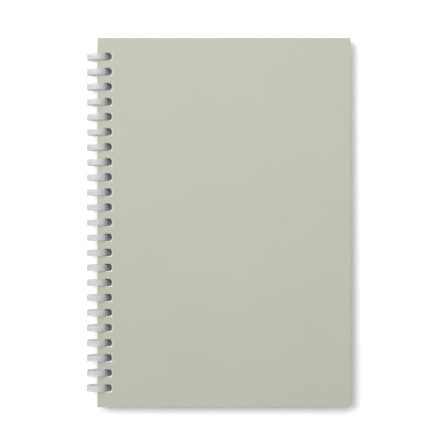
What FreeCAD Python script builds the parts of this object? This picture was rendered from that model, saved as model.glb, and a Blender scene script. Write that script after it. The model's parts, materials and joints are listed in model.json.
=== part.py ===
"""A5 notebook bound by a moulded comb of soft plastic rings.

53 pieces: a front cover, 50 loose leaves, a back cover and one comb of 23 flat hoops on a thin strip.
Frame: +X runs from the rings to the fore-edge, +Y to the head of the page, +Z out of the front cover.
The origin is under the middle of the closed notebook, level with the lowest point of the rings.
Every sheet turns about one line, the axis of the rings, which is parallel to Y.
"""
import FreeCAD, Part
import math
import os

import Sketcher

document = FreeCAD.newDocument("ring_notebook")

# ---------------------------------------------------------------- driving dimensions, in millimetres
LEAVES = 50
RINGS = 23

DRIVING = {
    "sheet_width": 144.0,       # spine edge to fore-edge
    "sheet_height": 210.0,      # A5
    "ring_pitch": 8.58,
    "ring_outer_radius": 6.1,
    "ring_thickness": 0.55,
    "ring_width": 3.45,         # along the axis
    "ring_edge_radius": 0.2,    # rounding of the band's long edges
    "spine_gap": 0.2,           # ring axis to the sheets' spine edge: over 0, so that turned sheets clear
    "cover_hole_margin": 4.18,  # spine edge to hole
    "cover_hole_width": 4.35,
    "cover_hole_height": 4.5,
    "cover_hole_corner": 0.5,
    "leaf_hole_margin": 3.85,
    "leaf_hole_width": 4.65,
    "leaf_hole_height": 4.4,
    "leaf_hole_corner": 1.6,
    "front_thickness": 0.5,
    "back_thickness": 0.6,
    "leaf_thickness": 0.09,
    "leaf_pitch": 0.095,        # one leaf and the air on it
    "cover_clearance": 0.04,    # front cover to first leaf
    "cover_corner": 0.6,
    "leaf_corner": 0.3,
    "strip_thickness": 0.45,
    "strip_width": 2.6,
    "strip_clearance": 0.05,    # air above and below the strip
    "strip_start": 4.5,         # ring axis to the strip's near edge
    "crease_distance": 13.0,    # spine edge to the fold line of the back cover
    "crease_width": 0.9,
    "crease_depth": 0.2,
}

DERIVED = {
    "leaves": str(LEAVES),
    "rings": str(RINGS),
    "ring_inner_radius": "=ring_outer_radius - ring_thickness",
    "ring_row": "=(rings - 1) * ring_pitch",
    "stack_thickness": "=front_thickness + cover_clearance + leaves * leaf_pitch + strip_thickness"
                       " + 2 * strip_clearance + back_thickness",
    "axis_x": "=(ring_outer_radius - spine_gap - sheet_width) / 2",
    "axis_z": "=ring_outer_radius",
    "stack_bottom": "=axis_z - stack_thickness / 2",
    "strip_bottom": "=stack_bottom + back_thickness + strip_clearance",
    "last_leaf_bottom": "=strip_bottom + strip_thickness + strip_clearance",
    "front_bottom": "=axis_z + stack_thickness / 2 - front_thickness",
}


def driving_sheet():
    """The spreadsheet that every size is bound to: a label, a value and an alias in each row."""
    sheet = document.addObject("Spreadsheet::Sheet", "Dimensions")
    for row, (name, value) in enumerate({**DRIVING, **DERIVED}.items(), start=1):
        sheet.set(f"A{row}", name.replace("_", " "))
        sheet.set(f"B{row}", str(value))
        sheet.setAlias(f"B{row}", name)
    document.recompute()
    return sheet


def origin_feature(body, role):
    """One of the body's own origin planes or axes, found by its role."""
    return next(feature for feature in body.Origin.OriginFeatures if feature.Role == role)


def sketch_on(body, role, name):
    """An empty sketch on one of the body's origin planes."""
    sketch = body.newObject("Sketcher::SketchObject", name)
    sketch.AttachmentSupport = [(origin_feature(body, role), "")]
    sketch.MapMode = "FlatFace"
    return sketch


def bind(sketch, constraint, expression):
    """Adds a named driving distance to a sketch and binds it to the spreadsheet."""
    index = sketch.addConstraint(constraint)
    name = f"size_{index}"
    sketch.renameConstraint(index, name)
    sketch.setExpression(f"Constraints.{name}", expression)


def rounded_rectangle(sketch, left, bottom, width, height, corner):
    """A rectangle with equal round corners. Each argument is a spreadsheet expression in millimetres."""
    seed_left, seed_bottom, seed_width, seed_height, seed_corner = (
        evaluated(expression) for expression in (left, bottom, width, height, corner)
    )
    right, top = seed_left + seed_width, seed_bottom + seed_height
    near_left, near_right = seed_left + seed_corner, right - seed_corner
    near_bottom, near_top = seed_bottom + seed_corner, top - seed_corner
    lines = [
        ((near_left, seed_bottom), (near_right, seed_bottom)),
        ((right, near_bottom), (right, near_top)),
        ((near_right, top), (near_left, top)),
        ((seed_left, near_top), (seed_left, near_bottom)),
    ]
    centres = [
        (near_right, near_bottom),
        (near_right, near_top),
        (near_left, near_top),
        (near_left, near_bottom),
    ]
    quarter = math.pi / 2
    edges = []
    for start, end in lines:
        segment = Part.LineSegment(FreeCAD.Vector(*start, 0), FreeCAD.Vector(*end, 0))
        edges.append(sketch.addGeometry(segment))
    arcs = []
    for turn, centre in enumerate(centres):
        circle = Part.Circle(FreeCAD.Vector(*centre, 0), FreeCAD.Vector(0, 0, 1), seed_corner)
        arc = Part.ArcOfCircle(circle, (turn - 1) * quarter, turn * quarter)
        arcs.append(sketch.addGeometry(arc))
    for turn in range(4):
        sketch.addConstraint(Sketcher.Constraint("Tangent", edges[turn], 2, arcs[turn], 1))
        sketch.addConstraint(Sketcher.Constraint("Tangent", arcs[turn], 2, edges[(turn + 1) % 4], 1))
    for turn in (0, 2):
        sketch.addConstraint(Sketcher.Constraint("Horizontal", edges[turn]))
        sketch.addConstraint(Sketcher.Constraint("Vertical", edges[turn + 1]))
    for arc in arcs[1:]:
        sketch.addConstraint(Sketcher.Constraint("Equal", arcs[0], arc))
    bind(sketch, Sketcher.Constraint("Radius", arcs[0], seed_corner), corner)
    bind(sketch, Sketcher.Constraint("DistanceX", -1, 1, edges[3], 1, seed_left), left)
    bind(sketch, Sketcher.Constraint("DistanceY", -1, 1, edges[0], 1, seed_bottom), bottom)
    bind(sketch, Sketcher.Constraint("DistanceX", edges[3], 1, edges[1], 1, seed_width), width)
    bind(sketch, Sketcher.Constraint("DistanceY", edges[0], 1, edges[2], 1, seed_height), height)


def evaluated(expression):
    """The present value of a spreadsheet expression."""
    return dimensions.evalExpression(expression.replace("Dimensions.", ""))


def solid_body(label, height):
    """An empty body whose origin lies on the ring axis in X and at the given height in Z."""
    body = document.addObject("PartDesign::Body", label)
    body.Label = label
    body.setExpression("Placement.Base.x", "Dimensions.axis_x")
    body.setExpression("Placement.Base.z", height)
    return body


def pad(body, sketch, name, thickness):
    """Raises a closed sketch by a thickness from the spreadsheet."""
    feature = body.newObject("PartDesign::Pad", name)
    feature.Profile = sketch
    feature.setExpression("Length", thickness)
    document.recompute()
    return feature


def along_the_spine(body, feature, name):
    """Repeats a feature made at the foot of the sheet once for each ring."""
    pattern = body.newObject("PartDesign::LinearPattern", name)
    pattern.Originals = [feature]
    pattern.Direction = (origin_feature(body, "Y_Axis"), [""])
    pattern.Mode = "Extent"
    pattern.setExpression("Length", "Dimensions.ring_row")
    pattern.setExpression("Occurrences", "Dimensions.rings")
    body.Tip = pattern
    document.recompute()
    return pattern


def punched_sheet(label, bottom, thickness, corner, hole):
    """A flat sheet with a row of holes along its spine edge. hole is the prefix of its sizes."""
    body = solid_body(label, bottom)
    outline = sketch_on(body, "XY_Plane", f"{label}_outline")
    rounded_rectangle(
        outline,
        "Dimensions.spine_gap",
        "-Dimensions.sheet_height / 2",
        "Dimensions.sheet_width",
        "Dimensions.sheet_height",
        corner,
    )
    blank = pad(body, outline, f"{label}_blank", thickness)
    blank_volume = blank.Shape.Volume
    punch = sketch_on(body, "XY_Plane", f"{label}_punch")
    rounded_rectangle(
        punch,
        f"Dimensions.spine_gap + {hole}_margin",
        f"-(Dimensions.ring_row + {hole}_height) / 2",
        f"{hole}_width",
        f"{hole}_height",
        f"{hole}_corner",
    )
    first = body.newObject("PartDesign::Pocket", f"{label}_hole")
    first.Profile = punch
    first.Type = "ThroughAll"
    first.Reversed = True
    document.recompute()
    one_hole = blank_volume - first.Shape.Volume
    holes = along_the_spine(body, first, f"{label}_holes")
    all_holes = blank_volume - holes.Shape.Volume
    if one_hole <= 0 or abs(all_holes / one_hole - RINGS) > 0.01:
        raise RuntimeError(f"{label}: the holes took {all_holes:.3f} mm3 and one takes {one_hole:.3f}")
    return body


def crease(body):
    """A scored fold line across the outer face of the back cover, parallel to the spine."""
    line = sketch_on(body, "XY_Plane", "back_cover_fold_line")
    left = evaluated("Dimensions.spine_gap + Dimensions.crease_distance")
    width = evaluated("Dimensions.crease_width")
    height = evaluated("Dimensions.sheet_height")
    corners = [(left, -height / 2), (left + width, -height / 2), (left + width, height / 2), (left, height / 2)]
    points = [FreeCAD.Vector(x, y, 0) for x, y in corners]
    edges = [line.addGeometry(Part.LineSegment(points[side], points[(side + 1) % 4])) for side in range(4)]
    for side in range(4):
        line.addConstraint(Sketcher.Constraint("Coincident", edges[side], 2, edges[(side + 1) % 4], 1))
    for side in (0, 2):
        line.addConstraint(Sketcher.Constraint("Horizontal", edges[side]))
        line.addConstraint(Sketcher.Constraint("Vertical", edges[side + 1]))
    bind(
        line,
        Sketcher.Constraint("DistanceX", -1, 1, edges[0], 1, left),
        "Dimensions.spine_gap + Dimensions.crease_distance",
    )
    bind(line, Sketcher.Constraint("DistanceX", edges[0], 1, edges[0], 2, width), "Dimensions.crease_width")
    bind(
        line,
        Sketcher.Constraint("DistanceY", -1, 1, edges[0], 1, -height / 2),
        "-Dimensions.sheet_height / 2",
    )
    bind(line, Sketcher.Constraint("DistanceY", edges[1], 1, edges[1], 2, height), "Dimensions.sheet_height")
    before = body.Shape.Volume
    groove = body.newObject("PartDesign::Pocket", "back_cover_crease")
    groove.Profile = line
    groove.Reversed = True
    groove.setExpression("Length", "Dimensions.crease_depth")
    body.Tip = groove
    document.recompute()
    expected = evaluated("Dimensions.crease_width * Dimensions.crease_depth * Dimensions.sheet_height")
    if abs(before - groove.Shape.Volume - expected) > 0.01 * expected:
        raise RuntimeError("the crease took the wrong volume")


def ring_comb():
    """The binding: a thin strip, and 23 flat hoops about the ring axis that grow out of it."""
    body = solid_body("ring_comb", "Dimensions.axis_z")
    strip_plan = sketch_on(body, "XY_Plane", "strip_plan")
    drop = "Dimensions.strip_bottom - Dimensions.axis_z"
    strip_plan.setExpression("AttachmentOffset.Base.z", drop)
    rounded_rectangle(
        strip_plan,
        "Dimensions.strip_start",
        "-(Dimensions.ring_row + Dimensions.ring_width) / 2",
        "Dimensions.strip_width",
        "Dimensions.ring_row + Dimensions.ring_width",
        "Dimensions.ring_edge_radius",
    )
    pad(body, strip_plan, "strip", "Dimensions.strip_thickness")
    section = sketch_on(body, "XY_Plane", "ring_section")
    rounded_rectangle(
        section,
        "Dimensions.ring_inner_radius",
        "-(Dimensions.ring_row + Dimensions.ring_width) / 2",
        "Dimensions.ring_thickness",
        "Dimensions.ring_width",
        "Dimensions.ring_edge_radius",
    )
    hoop = body.newObject("PartDesign::Revolution", "hoop")
    hoop.Profile = section
    hoop.ReferenceAxis = (origin_feature(body, "Y_Axis"), [""])
    hoop.Angle = 360
    document.recompute()
    along_the_spine(body, hoop, "hoops")
    return body


def check_everything(bodies):
    """Stops if any object of the document failed, or if a piece isn't one valid solid."""
    for item in document.Objects:
        if {"Invalid", "Error"} & set(item.State):
            raise RuntimeError(f"{item.Name} is {item.State}")
    for body in bodies:
        shape = body.Shape
        if shape.isNull() or not shape.isValid() or len(shape.Solids) != 1:
            raise RuntimeError(f"{body.Label} isn't one valid solid")


dimensions = driving_sheet()

pieces = [
    punched_sheet(
        "front_cover",
        "Dimensions.front_bottom",
        "Dimensions.front_thickness",
        "Dimensions.cover_corner",
        "Dimensions.cover_hole",
    )
]
for number in range(1, LEAVES + 1):
    level = LEAVES - number
    pieces.append(
        punched_sheet(
            f"leaf_{number:02d}",
            f"Dimensions.last_leaf_bottom + {level} * Dimensions.leaf_pitch",
            "Dimensions.leaf_thickness",
            "Dimensions.leaf_corner",
            "Dimensions.leaf_hole",
        )
    )
back_cover = punched_sheet(
    "back_cover",
    "Dimensions.stack_bottom",
    "Dimensions.back_thickness",
    "Dimensions.cover_corner",
    "Dimensions.cover_hole",
)
crease(back_cover)
pieces.append(back_cover)
pieces.append(ring_comb())

document.recompute()
check_everything(pieces)

os.makedirs("parts", exist_ok=True)
for piece in pieces:
    piece.Shape.exportStep(f"parts/{piece.Label}.step")

print(f"{len(pieces)} pieces on the ring axis at {evaluated('axis_x'):.4f}, {evaluated('axis_z'):.4f}")
print(f"stack thickness {evaluated('stack_thickness'):.4f}")
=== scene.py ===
"""Looks of a soft-ring A5 notebook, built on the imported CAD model.

The covers, the 50 leaves and the ring comb are finished meshes that ride on the CAD bodies and replace the
plain CAD nodes. Lengths are in millimetres unless a comment says otherwise, and are turned into metres
where a piece or a node needs them.
"""
import json
import math
import random

import bmesh
import bpy
from mathutils import Matrix, Vector
from mathutils.geometry import delaunay_2d_cdt

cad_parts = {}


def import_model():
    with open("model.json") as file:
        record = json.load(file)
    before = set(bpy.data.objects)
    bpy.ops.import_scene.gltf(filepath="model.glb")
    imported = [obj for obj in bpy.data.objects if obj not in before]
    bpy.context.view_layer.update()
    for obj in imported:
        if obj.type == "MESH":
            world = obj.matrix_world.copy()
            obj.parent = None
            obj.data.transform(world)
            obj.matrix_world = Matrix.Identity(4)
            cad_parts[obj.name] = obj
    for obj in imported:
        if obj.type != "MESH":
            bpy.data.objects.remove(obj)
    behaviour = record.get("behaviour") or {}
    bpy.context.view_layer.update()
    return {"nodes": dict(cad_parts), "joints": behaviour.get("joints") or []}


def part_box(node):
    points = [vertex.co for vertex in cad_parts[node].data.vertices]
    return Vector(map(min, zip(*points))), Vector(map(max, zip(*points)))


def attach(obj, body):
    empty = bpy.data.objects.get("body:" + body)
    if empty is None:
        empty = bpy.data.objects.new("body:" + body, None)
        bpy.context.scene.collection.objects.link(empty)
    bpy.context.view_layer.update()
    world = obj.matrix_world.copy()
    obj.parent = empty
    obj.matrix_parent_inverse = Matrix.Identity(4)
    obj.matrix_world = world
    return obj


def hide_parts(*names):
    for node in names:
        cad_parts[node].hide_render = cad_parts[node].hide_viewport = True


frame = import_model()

random.seed(7)
MM = 0.001


# ------------------------------------------------------------------ sizes taken from the frame
def box_of(node):
    """The lowest and the highest corner of a CAD node."""
    return [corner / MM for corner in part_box(node)]


hinge = Vector(frame["joints"][0]["pos_m"]) / MM
cover_low, cover_high = box_of("front_cover")
back_high = box_of("back_cover")[1]
comb_low, comb_high = box_of("ring_comb")
SHEET_LEFT = cover_low.x
SHEET_FOOT, SHEET_HEAD = cover_low.y, cover_high.y
LEAVES = sum(node.startswith("leaf_") for node in frame["nodes"])

# ------------------------------------------------------------------ sizes of the ring comb
RINGS = 23
RING_PITCH = 8.58
RING_WIDTH = 3.45
RING_THICKNESS = 0.55
RING_EDGE = 0.24               # radius of a hoop's long edges
RING_RADIUS = hinge.z
RING_TRIM = 0.01               # taken off the radius, to stay inside the round hoops of the CAD model
RING_ROW = [(number - (RINGS - 1) / 2) * RING_PITCH for number in range(RINGS)]
RING_SHIFT = 0.04              # the most that a hoop stands out of place
RING_LEAN = 0.6                # in degrees, the most that a hoop leans
RING_FLATNESS = 0.01           # the most that a hoop's height falls short of round, as a share
STRIP_START, STRIP_WIDTH, STRIP_THICKNESS = 4.5, 2.6, 0.45
STRIP_CORNER, STRIP_RIM = 0.6, 0.1
STRIP_GAP = 0.05               # air between the strip and the back cover

# ------------------------------------------------------------------ sizes of the covers and leaves
COVER_CORNER, COVER_RIM = 0.6, 0.08
COVER_HOLE_LEFT = SHEET_LEFT + 4.18
COVER_HOLE_WIDTH, COVER_HOLE_HEIGHT, COVER_HOLE_CORNER = 4.35, 4.5, 0.5
FOLD_AT, FOLD_WIDTH, FOLD_DEPTH = 13.0, 0.9, 0.2
LEAF_CORNER = 0.3
LEAF_INSET = 0.25              # the leaves are cut this much smaller than the covers on each side
LEAF_WIDTH_ERROR, LEAF_HEIGHT_ERROR = 0.12, 0.1
LEAF_SLIP_ACROSS, LEAF_SLIP_ALONG = 0.06, 0.02
LEAF_HOLE_LEFT = SHEET_LEFT + 3.5
LEAF_HOLE_WIDTH, LEAF_HOLE_HEIGHT, LEAF_HOLE_CORNER = 4.75, 4.25, 1.6
LEAF_HOLE_STRETCH = 0.9992     # spacing of the leaves' holes, as a share of the rings' spacing
LEAF_HOLE_RISE = 0.125         # towards the head, from the rings' places

# ------------------------------------------------------------------ ruling of the pages
RULING_PITCH = 7.0
RULING_HALF_WIDTH = 0.11
RULING_FROM_HEAD = 20.0
RULING_FROM_FOOT = 9.0
RULING_FROM_HOLES = 7.0        # counted from the spine side of the cover's holes
RULING_SLACK = 1.0             # how far above the first line the ruling is cut off
RULING_STRENGTH = 0.75


# ------------------------------------------------------------------ mesh helpers
def rounded_outline(left, foot, width, height, corner, steps=6):
    """Points of a rectangle with round corners, anticlockwise."""
    centres = [
        (left + width - corner, foot + corner, -90),
        (left + width - corner, foot + height - corner, 0),
        (left + corner, foot + height - corner, 90),
        (left + corner, foot + corner, 180),
    ]
    points = []
    for x, y, start in centres:
        for step in range(steps + 1):
            angle = math.radians(start + 90 * step / steps)
            points.append((x + corner * math.cos(angle), y + corner * math.sin(angle)))
    return points


def rim_profile(thickness, rim, steps=3):
    """(inset, height) pairs up the side of a plate whose rims are rounded by the radius rim."""
    if rim == 0:
        return [(0, 0), (0, thickness)]
    turns = [math.radians(90 * step / steps) for step in range(steps + 1)]
    lower = [(rim * (1 - math.sin(turn)), rim * (1 - math.cos(turn))) for turn in turns]
    return lower + [(inset, thickness - height) for inset, height in reversed(lower)]


def joined_loops(shape, loops):
    """Faces between closed loops of as many vertices each."""
    for lower, upper in zip(loops, loops[1:]):
        for here in range(len(lower)):
            after = (here + 1) % len(lower)
            shape.faces.new((lower[here], lower[after], upper[after], upper[here]))


def capped(shape, loops):
    """Triangles over the area inside the first loop and outside the others, which are convex."""
    corners, owners, sides = [], [], []
    for number, loop in enumerate(loops):
        start = len(corners)
        sides += [(start + here, start + (here + 1) % len(loop)) for here in range(len(loop))]
        corners += loop
        owners += [number] * len(loop)
    found = delaunay_2d_cdt([vertex.co.xy for vertex in corners], sides, [], 1, 1e-6)
    triangles, source = found[2], found[3]
    for triangle in triangles:
        given = [source[index][0] for index in triangle]
        around = {owners[index] for index in given}
        if len(around) > 1 or around == {0}:
            shape.faces.new([corners[index] for index in given])


def mesh_from(shape, name):
    """Turns a bmesh into a mesh whose faces look outwards."""
    bmesh.ops.recalc_face_normals(shape, faces=shape.faces)
    mesh = bpy.data.meshes.new(name)
    shape.to_mesh(mesh)
    shape.free()
    return mesh


def punched_plate(name, sheet, holes, bottom, thickness, rim):
    """A flat plate with holes. Sheet and holes are (left, foot, width, height, corner)."""
    shape = bmesh.new()
    profile = rim_profile(thickness, rim)
    towers = []
    for number, (left, foot, width, height, corner) in enumerate([sheet, *holes]):
        loops = []
        for inset, level in profile:
            by = -inset if number else inset
            points = rounded_outline(left + by, foot + by, width - 2 * by, height - 2 * by, corner - by)
            loops.append([shape.verts.new((x, y, bottom + level)) for x, y in points])
        joined_loops(shape, loops)
        towers.append(loops)
    capped(shape, [loops[0] for loops in towers])
    capped(shape, [loops[-1] for loops in towers])
    return mesh_from(shape, name)


def linked(name, data):
    """A new object in the scene for a mesh, lamp or camera."""
    thing = bpy.data.objects.new(name, data)
    bpy.context.scene.collection.objects.link(thing)
    return thing


def placed(name, mesh, body, slot, material, *nodes):
    """Puts a mesh made in millimetres into the scene, riding on a body in place of CAD nodes."""
    mesh.transform(Matrix.Scale(MM, 4))
    mesh.materials.clear()
    mesh.materials.append(material)
    piece = linked(name, mesh)
    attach(piece, body)
    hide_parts(*nodes)
    return piece


# ------------------------------------------------------------------ material helpers
class Nodes:
    """A material's node tree, with one short call for each node."""

    def __init__(self, name):
        self.material = bpy.data.materials.new(name)
        self.material.use_nodes = True
        self.tree = self.material.node_tree
        self.shader = self.tree.nodes["Principled BSDF"]
        self.place = self.add("ShaderNodeTexCoord").outputs["Object"]

    def add(self, kind, **settings):
        node = self.tree.nodes.new(kind)
        for key, value in settings.items():
            setattr(node, key, value)
        return node

    def put(self, value, socket):
        """Links an output to a socket, or sets the socket's own number or colour."""
        if isinstance(value, bpy.types.NodeSocket):
            self.tree.links.new(value, socket)
        else:
            socket.default_value = value

    def noise(self, size, detail=3, roughness=0.5):
        """Noise whose features are about size across, from 0 to 1."""
        node = self.add("ShaderNodeTexNoise")
        self.put(self.place, node.inputs["Vector"])
        self.put(1 / (size * MM), node.inputs["Scale"])
        self.put(detail, node.inputs["Detail"])
        self.put(roughness, node.inputs["Roughness"])
        return node.outputs["Fac"]

    def ranged(self, noise, to_low, to_high, low=0.3, high=0.7):
        """The middle of a noise, from low to high, stretched to to_low..to_high."""
        node = self.add("ShaderNodeMapRange")
        for socket, number in zip(node.inputs, (noise, low, high, to_low, to_high)):
            self.put(number, socket)
        return node.outputs["Result"]

    def math(self, operation, *values):
        node = self.add("ShaderNodeMath", operation=operation)
        for socket, number in zip(node.inputs, values):
            self.put(number, socket)
        return node.outputs[0]

    def mixed(self, share, first, second):
        """A colour between first and second."""
        node = self.add("ShaderNodeMix", data_type="RGBA")
        self.put(share, node.inputs["Factor"])
        self.put(first, node.inputs["A"])
        self.put(second, node.inputs["B"])
        return node.outputs["Result"]

    def parts(self, vector):
        """The X, Y and Z outputs of a vector."""
        node = self.add("ShaderNodeSeparateXYZ")
        self.put(vector, node.inputs[0])
        return node.outputs

    def bump(self, height, depth, strength):
        """A normal from a height of 0 to 1 that stands for depth."""
        node = self.add("ShaderNodeBump")
        self.put(height, node.inputs["Height"])
        self.put(depth * MM, node.inputs["Distance"])
        self.put(strength, node.inputs["Strength"])
        self.put(node.outputs["Normal"], self.shader.inputs["Normal"])

    def set(self, **values):
        """Sets or links sockets of the shader, with _ for each space in their names."""
        for name, value in values.items():
            self.put(value, self.shader.inputs[name.replace("_", " ")])


def colour(red, green, blue):
    """A colour given as it shows on screen, 0 to 255, as the linear values that a shader takes."""
    linear = [((c / 255 + 0.055) / 1.055) ** 2.4 for c in (red, green, blue)]
    return (*linear, 1.0)


# ------------------------------------------------------------------ materials
COVER_LIGHT = colour(172, 173, 160)
COVER_DARK = colour(170, 171, 158)
COVER_GRAIN = colour(190, 191, 180)
PAPER_LIGHT = colour(226, 226, 221)
PAPER_DARK = colour(219, 219, 213)
RULING = colour(150, 165, 180)
RING_LIGHT = colour(198, 200, 200)
RING_DARK = colour(192, 194, 194)
FLOOR_DARK = colour(251, 251, 251)
FLOOR_LIGHT = colour(253, 253, 253)
LEAF_TONE = 0.4                # how much of the paper's tone is the leaf's own, the rest being fibre
LEVEL_ENOUGH = 0.5             # upward part of a normal, above which a face of a leaf is ruled
RING_OPACITY = (0.58, 0.64)
RING_SHADOW_LOSS = 0.6         # how much of a hoop the lamps don't see, so that its shadow is pale


def cover_material():
    """Matte polypropylene: a fine moulded grain, faint flow clouds and a slightly uneven sheen."""
    nodes = Nodes("cover_sheet")
    clouds = nodes.noise(60, detail=2)
    grain = nodes.noise(0.35, detail=2, roughness=0.6)
    base = nodes.mixed(nodes.ranged(clouds, 0, 1), COVER_DARK, COVER_LIGHT)
    nodes.set(Base_Color=nodes.mixed(nodes.ranged(grain, 0.0, 0.05), base, COVER_GRAIN))
    nodes.set(Roughness=nodes.ranged(nodes.noise(9), 0.66, 0.74), Specular_IOR_Level=0.3)
    nodes.bump(grain, depth=0.012, strength=0.6)
    return nodes.material


def ruled_lines(nodes):
    """1 on the lines of a page and 0 elsewhere, on both faces of a leaf but not on its edges."""
    place = nodes.parts(nodes.place)
    facing = nodes.parts(nodes.add("ShaderNodeTexCoord").outputs["Normal"])
    first_line = (SHEET_HEAD - RULING_FROM_HEAD) * MM
    below_first = nodes.math("SUBTRACT", place["Y"], first_line)
    from_line = nodes.math("PINGPONG", below_first, RULING_PITCH / 2 * MM)
    ruled = nodes.math("LESS_THAN", from_line, RULING_HALF_WIDTH * MM)
    limits = [
        nodes.math("LESS_THAN", place["Y"], first_line + RULING_SLACK * MM),
        nodes.math("GREATER_THAN", place["Y"], (SHEET_FOOT + RULING_FROM_FOOT) * MM),
        nodes.math("GREATER_THAN", place["X"], (COVER_HOLE_LEFT + RULING_FROM_HOLES) * MM),
        nodes.math("GREATER_THAN", nodes.math("ABSOLUTE", facing["Z"]), LEVEL_ENOUGH),
    ]
    for limit in limits:
        ruled = nodes.math("MULTIPLY", ruled, limit)
    return ruled


def paper_material():
    """Uncoated white paper with a faint fibre, a tone of its own for each leaf, and pale ruling."""
    nodes = Nodes("paper_sheet")
    fibre = nodes.noise(0.8, detail=4, roughness=0.7)
    chance = nodes.add("ShaderNodeObjectInfo").outputs["Random"]
    of_this_leaf = nodes.math("MULTIPLY", chance, LEAF_TONE)
    tone = nodes.math("ADD", nodes.ranged(fibre, 0, 1 - LEAF_TONE), of_this_leaf)
    base = nodes.mixed(tone, PAPER_DARK, PAPER_LIGHT)
    ink = nodes.math("MULTIPLY", ruled_lines(nodes), RULING_STRENGTH)
    nodes.set(Base_Color=nodes.mixed(ink, base, RULING), Roughness=0.9, Specular_IOR_Level=0.2)
    nodes.bump(fibre, depth=0.01, strength=0.4)
    return nodes.material


def ring_material():
    """Soft milky plastic: satin, and lets a little of what is behind it through."""
    nodes = Nodes("ring_plastic")
    haze = nodes.noise(2.5)
    nodes.set(Base_Color=nodes.mixed(nodes.ranged(haze, 0, 1), RING_DARK, RING_LIGHT))
    nodes.set(Roughness=nodes.ranged(nodes.noise(0.8), 0.48, 0.58), Specular_IOR_Level=0.3)
    nodes.bump(nodes.noise(0.5, detail=2), depth=0.006, strength=0.5)
    for_lamps = nodes.add("ShaderNodeLightPath").outputs["Is Shadow Ray"]
    kept = nodes.math("SUBTRACT", 1.0, nodes.math("MULTIPLY", for_lamps, RING_SHADOW_LOSS))
    nodes.set(Alpha=nodes.math("MULTIPLY", nodes.ranged(haze, *RING_OPACITY), kept))
    return nodes.material


def floor_material():
    """A pale, nearly white ground with the faintest unevenness."""
    nodes = Nodes("pale_floor")
    nodes.set(Base_Color=nodes.mixed(nodes.noise(40, detail=2), FLOOR_DARK, FLOOR_LIGHT))
    nodes.set(Roughness=0.9, Specular_IOR_Level=0.1)
    return nodes.material


cover_plastic = cover_material()
paper = paper_material()
ring_plastic = ring_material()


# ------------------------------------------------------------------ covers and leaves
def hole_row(left, width, height, corner, stretch=1.0, rise=0.0):
    """The holes of one sheet. stretch widens or narrows the spacing, rise moves the row to the head."""
    return [(left, y * stretch + rise - height / 2, width, height, corner) for y in RING_ROW]


def pressed_fold(mesh, left, width, depth, top, thickness, steps=8):
    """Presses a rounded groove, parallel to the spine, into the lower face of a plate."""
    shape = bmesh.new()
    shape.from_mesh(mesh)
    for step in range(steps + 1):
        cut = Vector((left + width * step / steps, 0, 0))
        everything = [*shape.verts, *shape.edges, *shape.faces]
        bmesh.ops.bisect_plane(shape, geom=everything, plane_co=cut, plane_no=(1, 0, 0), dist=1e-4)
    for vertex in shape.verts:
        across = (vertex.co.x - left) / width
        if 0 < across < 1:
            pressed = depth * math.sin(math.pi * across) ** 2
            vertex.co.z = top - (top - vertex.co.z) * (1 - pressed / thickness)
    shape.to_mesh(mesh)
    shape.free()


def cover(name, node, folded=False):
    """One plastic cover with lightly rounded rims. A folded one has a fold line beyond the rings."""
    low, high = box_of(node)
    thickness = high.z - low.z
    sheet = (SHEET_LEFT, SHEET_FOOT, high.x - low.x, high.y - low.y, COVER_CORNER)
    holes = hole_row(COVER_HOLE_LEFT, COVER_HOLE_WIDTH, COVER_HOLE_HEIGHT, COVER_HOLE_CORNER)
    mesh = punched_plate(name, sheet, holes, low.z, thickness, COVER_RIM)
    if folded:
        pressed_fold(mesh, SHEET_LEFT + FOLD_AT, FOLD_WIDTH, FOLD_DEPTH, high.z, thickness)
    return placed(name, mesh, node, "cover_sheet", cover_plastic, node)


def astray(most):
    """A random error of up to most, either way."""
    return random.uniform(-most, most)


def leaf(number):
    """One leaf, cut and punched a hair out of true, as leaves of a block are."""
    node = f"leaf_{number:02d}"
    low, high = box_of(node)
    width = high.x - low.x - 2 * LEAF_INSET + astray(LEAF_WIDTH_ERROR)
    height = high.y - low.y - 2 * LEAF_INSET + astray(LEAF_HEIGHT_ERROR)
    sheet = (low.x + LEAF_INSET, low.y + LEAF_INSET, width, height, LEAF_CORNER)
    holes = hole_row(
        LEAF_HOLE_LEFT, LEAF_HOLE_WIDTH, LEAF_HOLE_HEIGHT, LEAF_HOLE_CORNER,
        stretch=LEAF_HOLE_STRETCH, rise=LEAF_HOLE_RISE,
    )
    mesh = punched_plate(node, sheet, holes, low.z, high.z - low.z, 0)
    slip = Vector((astray(LEAF_SLIP_ACROSS), astray(LEAF_SLIP_ALONG), 0))
    mesh.transform(Matrix.Translation(slip))
    return placed(f"sheet_{number:02d}", mesh, node, "paper_sheet", paper, node)


def shade(piece, sharp=60, level=0.9999):
    """Smooth shading over edges that turn by less than sharp degrees, flat shading on level faces."""
    piece.data.shade_smooth()
    piece.data.set_sharp_from_angle(angle=math.radians(sharp))
    for face in piece.data.polygons:
        face.use_smooth = abs(face.normal.z) < level


covers = [cover("front_board", "front_cover"), cover("back_board", "back_cover", folded=True)]
sheets = [leaf(number) for number in range(1, LEAVES + 1)]
for piece in covers + sheets:
    shade(piece)


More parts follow.
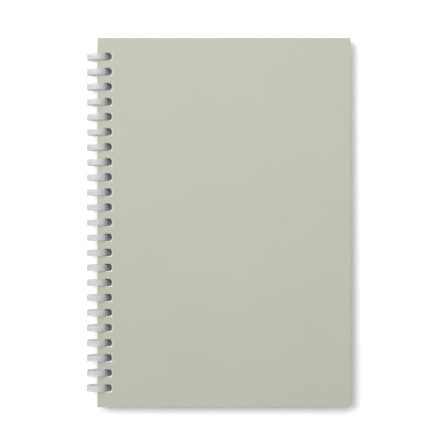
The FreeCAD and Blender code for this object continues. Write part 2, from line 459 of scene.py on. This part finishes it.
# ------------------------------------------------------------------ ring comb
def add_hoop(shape, y, steps=96):
    """One closed band about the ring axis, a hair out of round and out of square, added to a bmesh."""
    section = rounded_outline(
        -RING_WIDTH / 2, -RING_THICKNESS / 2, RING_WIDTH, RING_THICKNESS, RING_EDGE, steps=4
    )
    middle = RING_RADIUS - RING_THICKNESS / 2
    centre = y + astray(RING_SHIFT)
    lean = math.radians(astray(RING_LEAN))
    flat = random.uniform(0, RING_FLATNESS)
    rows = []
    for step in range(steps):
        angle = math.tau * step / steps
        radius = middle * (1 - flat * (1 - math.cos(2 * angle)) / 2) - RING_TRIM
        row = []
        for across, outward in section:
            x = (radius + outward) * math.cos(angle)
            z = (radius + outward) * math.sin(angle)
            leant = centre + across + x * math.sin(lean)
            row.append(shape.verts.new((hinge.x + x, leant, hinge.z + z)))
        rows.append(row)
    joined_loops(shape, [*rows, rows[0]])


def united(first, second):
    """The union of two closed meshes, as one mesh with no faces left inside."""
    pair = [linked(mesh.name, mesh) for mesh in (first, second)]
    union = pair[0].modifiers.new("union", "BOOLEAN")
    union.operation = "UNION"
    union.solver = "EXACT"
    union.object = pair[1]
    result = pair[0].evaluated_get(bpy.context.evaluated_depsgraph_get())
    joined = bpy.data.meshes.new_from_object(result)
    for holder in pair:
        bpy.data.objects.remove(holder)
    return joined


def comb():
    """The 23 hoops and the strip that joins them behind the last leaf, as one moulding."""
    shape = bmesh.new()
    for y in RING_ROW:
        add_hoop(shape, y)
    hoops = mesh_from(shape, "hoops")
    plan = (hinge.x + STRIP_START, comb_low.y, STRIP_WIDTH, comb_high.y - comb_low.y, STRIP_CORNER)
    strip = punched_plate("strip", plan, [], back_high.z + STRIP_GAP, STRIP_THICKNESS, STRIP_RIM)
    mesh = united(hoops, strip)
    return placed("soft_rings", mesh, "ring_comb", "ring_plastic", ring_plastic, "ring_comb")


shade(comb())


# ------------------------------------------------------------------ floor, light and camera, in metres
def floor(reach=3.0):
    """The ground that the notebook lies on."""
    mesh = bpy.data.meshes.new("floor")
    corners = [(-reach, -reach, 0), (reach, -reach, 0), (reach, reach, 0), (-reach, reach, 0)]
    mesh.from_pydata(corners, [], [(0, 1, 2, 3)])
    mesh.materials.append(floor_material())
    ground = linked("floor", mesh)


def softbox(name, direction, distance, size, power, tint):
    """A square area light in a direction from the object, facing it, that the camera doesn't see."""
    light = bpy.data.lights.new(name, "AREA")
    light.size = size
    light.energy = power
    light.color = tint
    lamp = linked(name, light)
    towards = Vector(direction).normalized()
    lamp.location = towards * distance
    lamp.rotation_euler = towards.to_track_quat("Z", "Y").to_euler()
    lamp.visible_camera = False


def camera(height, seen_width, across, along):
    """Straight down on the front cover from a height above it. All four are in millimetres."""
    view = bpy.data.cameras.new("camera")
    view.sensor_width = 36
    view.lens = view.sensor_width * height / seen_width
    view.clip_start = 0.01
    eye = linked("camera", view)
    eye.location = Vector((across, along, cover_high.z + height)) * MM
    bpy.context.scene.camera = eye


def world(tint, strength):
    """Even light from all round, and colours shown without a film look."""
    surroundings = bpy.data.worlds.new("studio")
    surroundings.use_nodes = True
    background = surroundings.node_tree.nodes["Background"]
    background.inputs["Color"].default_value = (*tint, 1)
    background.inputs["Strength"].default_value = strength
    bpy.context.scene.world = surroundings
    bpy.context.scene.view_settings.view_transform = "Standard"


floor()
softbox("key", (-0.58, 0.25, 0.95), distance=3.0, size=1.6, power=62.5, tint=(1.0, 0.985, 0.96))
softbox("head_fill", (0.0, 0.3, 0.5), distance=0.58, size=0.4, power=1.3, tint=(1.0, 1.0, 1.0))
camera(height=760.0, seen_width=250.2, across=0.87, along=1.45)
world(tint=(0.93, 0.96, 1.0), strength=0.475)
